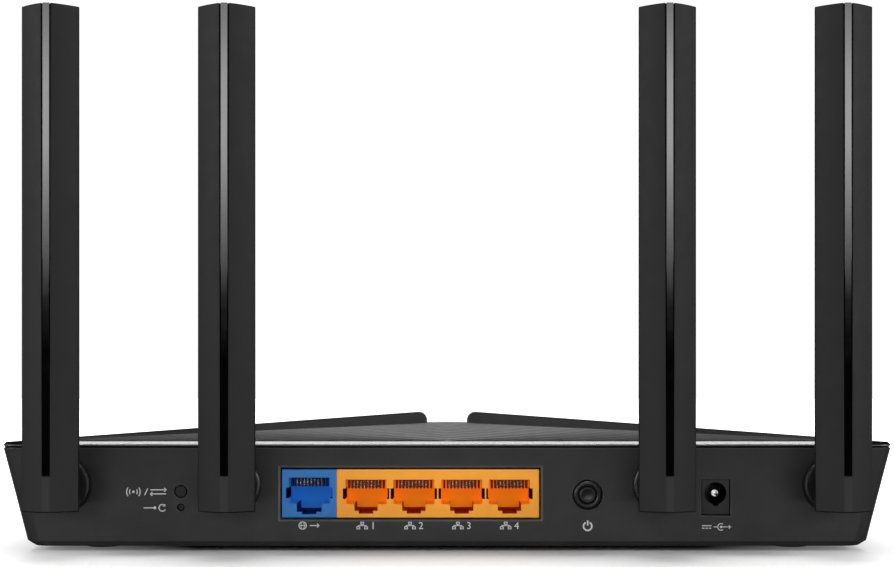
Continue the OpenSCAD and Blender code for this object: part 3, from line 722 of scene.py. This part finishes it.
def add_floor():
    """Pale floor, matt near the object and glowing faintly white far from it, so that it has no horizon."""
    half = 3.0
    floor = new_sheet("floor", [(-half, -half, 0), (half, -half, 0), (half, half, 0), (-half, half, 0)])
    look = Look("floor_white", (0.9, 0.9, 0.9), 0.6)
    look.vary_roughness(look.noise(40), 0.55, 0.65)
    far = look.tree.nodes.new("ShaderNodeVectorMath")
    far.operation = "LENGTH"
    look.link(look.coords.outputs["Object"], far.inputs[0])
    glow = look.node("ShaderNodeMapRange", **{"From Min": 0.09, "From Max": 0.3})
    look.link(far.outputs["Value"], glow.inputs["Value"])
    look.shader.inputs["Emission Color"].default_value = (1, 1, 1, 1)
    look.link(glow.outputs["Result"], look.shader.inputs["Emission Strength"])
    floor.data.materials.append(look.mat)
    floor.visible_glossy = False
    return floor


def add_reflected_card():
    """Card behind the camera for the gloss strips: bright at eye height and above, fading out downwards."""
    half, behind, low, high = 1.15, -2.6, 0.1, 1.0
    card = new_sheet("gloss_card", [(-half, behind, low), (half, behind, low),
                                    (half, behind, high), (-half, behind, high)])
    mat = bpy.data.materials.new("gloss_card")
    mat.use_nodes = True
    tree = mat.node_tree
    tree.nodes.remove(tree.nodes["Principled BSDF"])
    coords = tree.nodes.new("ShaderNodeTexCoord")
    split = tree.nodes.new("ShaderNodeSeparateXYZ")
    ramp = tree.nodes.new("ShaderNodeValToRGB")
    stops = ramp.color_ramp.elements
    for place, value in ((0.1, 0.0), (0.2, 0.03), (0.35, 0.45), (0.5, 1.0), (0.62, 1.0), (0.78, 0.5)):
        if place == 0.1:
            stops[0].position, stops[0].color = place, (0, 0, 0, 1)
        elif place == 0.78:
            stops[-1].position, stops[-1].color = place, (value, value, value, 1)
        else:
            stops.new(place).color = (value, value, value, 1)
    emit = tree.nodes.new("ShaderNodeEmission")
    emit.inputs["Strength"].default_value = CARD_GLOW
    tree.links.new(coords.outputs["Object"], split.inputs[0])
    tree.links.new(split.outputs["Z"], ramp.inputs["Fac"])
    tree.links.new(ramp.outputs["Color"], emit.inputs["Color"])
    tree.links.new(emit.outputs[0], tree.nodes["Material Output"].inputs["Surface"])
    card.data.materials.append(mat)
    card.visible_camera = False
    card.visible_shadow = False


def add_softbox(name, place, target, size, power):
    data = bpy.data.lights.new(name, "AREA")
    data.shape = "RECTANGLE"
    data.size, data.size_y = size
    data.energy = power
    light = bpy.data.objects.new(name, data)
    bpy.context.scene.collection.objects.link(light)
    light.location = place
    light.rotation_euler = (Vector(target) - Vector(place)).to_track_quat("-Z", "Y").to_euler()
    return light


def add_world():
    """White to the eye; as a light source it is bright overhead and behind the object, and dark low down in
    front of it."""
    world = bpy.data.worlds.new("studio")
    bpy.context.scene.world = world
    world.use_nodes = True
    tree = world.node_tree
    back = tree.nodes["Background"]
    coords = tree.nodes.new("ShaderNodeTexCoord")
    dot = tree.nodes.new("ShaderNodeVectorMath")
    dot.operation = "DOT_PRODUCT"
    dot.inputs[1].default_value = (0, 0.9, 1.1)
    level = tree.nodes.new("ShaderNodeMath")
    level.operation = "ADD"
    level.use_clamp = True
    level.inputs[1].default_value = -0.25
    tree.links.new(coords.outputs["Generated"], dot.inputs[0])
    tree.links.new(dot.outputs["Value"], level.inputs[0])
    tree.links.new(level.outputs[0], back.inputs["Color"])
    back.inputs["Strength"].default_value = SKY
    white = tree.nodes.new("ShaderNodeBackground")
    white.inputs["Color"].default_value = (1, 1, 1, 1)
    white.inputs["Strength"].default_value = 1.05
    path = tree.nodes.new("ShaderNodeLightPath")
    mix = tree.nodes.new("ShaderNodeMixShader")
    tree.links.new(path.outputs["Is Camera Ray"], mix.inputs["Fac"])
    tree.links.new(back.outputs[0], mix.inputs[1])
    tree.links.new(white.outputs[0], mix.inputs[2])
    tree.links.new(mix.outputs[0], tree.nodes["World Output"].inputs["Surface"])


def keep_off(light, pieces):
    """Stops a light from falling on the pieces."""
    group = bpy.data.collections.new(light.name + "_kept_off")
    for piece in pieces:
        group.objects.link(piece)
    light.light_linking.receiver_collection = group
    for entry in group.collection_objects:
        entry.light_linking.link_state = "EXCLUDE"


def add_light(floor, spared):
    """Studio light. The low light doesn't fall on the floor or on the spared pieces."""
    add_world()
    add_reflected_card()
    for side, name in ((-1, "key_left"), (1, "key_right")):
        add_softbox(name, (side * 1.0, REAR_Y - 0.4, 0.4), (side * 0.07, REAR_Y, 0.05), (0.4, 0.5), KEY)
    add_softbox("top", (0, 0.75, 1.1), (0, 0.02, 0), (1.8, 1.0), TOP)
    line = add_softbox("line", (0, REAR_Y - 0.04, 1.0), (0, REAR_Y - 0.04, 0), (0.8, 0.14), LINE)
    keep_off(line, [floor])
    low = add_softbox("low", (0, REAR_Y - 0.08, 0.004), (0, REAR_Y, 0.008), (0.34, 0.006), LOW)
    low.visible_camera = False
    keep_off(low, [floor] + spared)
    scene = bpy.context.scene
    scene.view_settings.view_transform = "Standard"
    scene.view_settings.look = "None"


# ---------- making ----------

add_camera()
dress_cad()
# the case's rounded edges get the paler look: painted highlight
smooth_copy("bottom_case", "case", case_radius, case_paint, rim="case_edge_highlight")
smooth_copy("top_cover", "cover", cover_radius, cover_paint, rim="rim", steps=1)
add_valley_ribs()
# the wings' and antennas' rounded edges get the near-black look: painted shade
smooth_copy("wing_panel_left", "wing", by_length(0.45, 0.3), rim="edge")
smooth_copy("wing_panel_right", "wing", by_length(0.45, 0.3), rim="edge")
blue_block = smooth_copy("wan_jack", "blue", by_length(0.3, 0.05),
                         socket_paint([wan_centre], 19.9, 12.4, "blue"))
orange_block = smooth_copy("lan_jacks", "orange", by_length(0.3, 0.05),
                           socket_paint(lan_centres, 19.3, 12.2, "orange"))
inlet_block = smooth_copy("dc_jack_body", "inlet", by_length(0.3, 0.18, 6), inlet_paint)
buttons = [smooth_copy(node, "button", by_length(0.1, 0.08))
           for node in ("power_button", "wps_button", "reset_plunger")]
strips = []
for n in ANTENNAS:
    smooth_copy(f"antenna_{n}_cover", "antenna", by_length(0.4, 0.3), ridge_paint(n), rim="edge")
    smooth_copy(f"antenna_{n}_frame", "antenna", by_length(0.5, 0.3), rim="edge")
    strips.append(smooth_copy(f"antenna_{n}_strip", "strip", by_length(0.12, 0.1)))
    smooth_copy(f"antenna_{n}_base", "boss", by_length(0.3, 0.2))
add_marks()
contacts = [frame["nodes"][node] for node in ("wan_contacts", "lan_contacts")]
spared = [blue_block, orange_block, inlet_block] + contacts + buttons + strips
add_light(add_floor(), spared)
